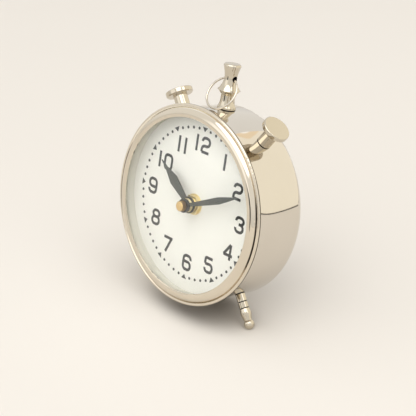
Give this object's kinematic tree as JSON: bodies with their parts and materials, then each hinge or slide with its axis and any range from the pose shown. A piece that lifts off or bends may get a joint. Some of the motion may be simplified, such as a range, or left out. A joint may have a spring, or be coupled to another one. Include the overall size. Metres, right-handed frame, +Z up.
{
  "type": "alarm clock",
  "caption": "Round nickel-plated clock in twin-bell alarm style, leaning back on turned legs, with domed glass, white dial, carry ring on a top post and quartz movement.",
  "frame": {"origin": "middle of the clock on the floor it stands on, at the bottom centre of its box", "axes": "+Z up, -Y out of the dial towards the viewer, +X to the right of the dial (3 o clock)"},
  "size_m": [0.1058, 0.056, 0.13],
  "materials": {
    "polished_nickel": "polished nickel plate on brass",
    "brass": "bright turned brass",
    "clear_glass": "clear domed glass",
    "dial_white": "matt white printed dial",
    "spacer_cream": "satin pale ring",
    "hand_grey": "satin dark grey lacquer",
    "movement_black": "moulded black plastic",
    "wheel_white": "moulded white plastic",
    "rubber_black": "soft rubber",
    "steel": "zinc plated steel",
    "magnet": "sintered magnet",
    "copper_wire": "enamelled copper winding",
    "board_green": "printed circuit board",
    "battery_jacket": "printed metal jacket, plain bands"
  },
  "bodies": {
    "case": {"case_drum": "polished_nickel", "bezel": "polished_nickel", "glass": "clear_glass", "spacer_ring": "spacer_cream", "dial_plate": "dial_white", "dial_seat_ring": "steel", "back_cover": "polished_nickel", "back_screws": "steel", "top_post": "polished_nickel", "left_stud": "polished_nickel", "right_stud": "polished_nickel", "left_front_leg": "polished_nickel", "right_front_leg": "polished_nickel", "rear_foot": "polished_nickel", "case_nuts": "steel", "movement_base": "movement_black", "movement_cover": "movement_black", "rubber_washer": "rubber_black", "threaded_bush": "brass", "dial_washer": "brass", "dial_fixing_nut": "brass", "stator": "steel", "coil": "copper_wire", "circuit_board": "board_green", "clock_chip": "movement_black", "quartz_crystal": "steel", "positive_contact": "steel", "negative_contact": "steel"},
    "minute_work": {"minute_arbor": "steel", "minute_hand": "hand_grey", "hand_cap_nut": "brass"},
    "hour_work": {"hour_wheel": "brass", "hour_hand": "hand_grey"},
    "setting_work": {"minute_wheel": "wheel_white", "setting_knob": "movement_black"},
    "centre_wheel": {"centre_wheel": "wheel_white"},
    "third_wheel": {"third_wheel": "wheel_white"},
    "fourth_wheel": {"fourth_wheel": "wheel_white"},
    "intermediate_wheel": {"intermediate_wheel": "wheel_white"},
    "rotor": {"rotor": "magnet"},
    "carry_ring": {"carry_ring": "polished_nickel"},
    "battery": {"battery": "battery_jacket"}
  },
  "joints": [
    {"name": "minute_turn", "type": "hinge", "parent": "case", "child": "minute_work", "pos_m": [0, -0.00987, 0.05836], "axis": [0, 0.9816, -0.1908], "continuous": true},
    {"name": "hour_turn", "type": "hinge", "parent": "case", "child": "hour_work", "pos_m": [0, -0.00987, 0.05836], "axis": [0, 0.9816, -0.1908], "continuous": true},
    {"name": "setting_turn", "type": "hinge", "parent": "case", "child": "setting_work", "pos_m": [-0.0104, -0.00987, 0.05836], "axis": [0, 0.9816, -0.1908], "continuous": true},
    {"name": "rotor_turn", "type": "hinge", "parent": "case", "child": "rotor", "pos_m": [0.00845, -0.0058, 0.0793], "axis": [0, 0.9816, -0.1908], "continuous": true},
    {"name": "intermediate_turn", "type": "hinge", "parent": "case", "child": "intermediate_wheel", "pos_m": [0.01524, -0.00655, 0.07545], "axis": [0, 0.9816, -0.1908], "continuous": true},
    {"name": "fourth_turn", "type": "hinge", "parent": "case", "child": "fourth_wheel", "pos_m": [0.01378, -0.00813, 0.06733], "axis": [0, 0.9816, -0.1908], "continuous": true},
    {"name": "third_turn", "type": "hinge", "parent": "case", "child": "third_wheel", "pos_m": [0.00426, -0.00813, 0.06733], "axis": [0, 0.9816, -0.1908], "continuous": true},
    {"name": "centre_turn", "type": "hinge", "parent": "case", "child": "centre_wheel", "pos_m": [0, -0.00987, 0.05836], "axis": [0, 0.9816, -0.1908], "continuous": true},
    {"name": "ring_swing", "type": "hinge", "parent": "case", "child": "carry_ring", "pos_m": [0, 0.01508, 0.12177], "axis": [-1, 0, 0], "range_deg": [0, 294.42]},
    {"name": "battery_pull", "type": "slide", "parent": "case", "child": "battery", "axis": [0, 0.9816, -0.1908], "range_m": [0, 0.032]}
  ],
  "couplings": [
    {"joint": "hour_turn", "follows": "minute_turn", "ratio": 0.083333},
    {"joint": "setting_turn", "follows": "minute_turn", "ratio": -0.33333},
    {"joint": "intermediate_turn", "follows": "rotor_turn", "ratio": -0.16667},
    {"joint": "fourth_turn", "follows": "rotor_turn", "ratio": 0.033333},
    {"joint": "third_turn", "follows": "rotor_turn", "ratio": -0.0044444},
    {"joint": "centre_turn", "follows": "rotor_turn", "ratio": 0.00055556}
  ]
}
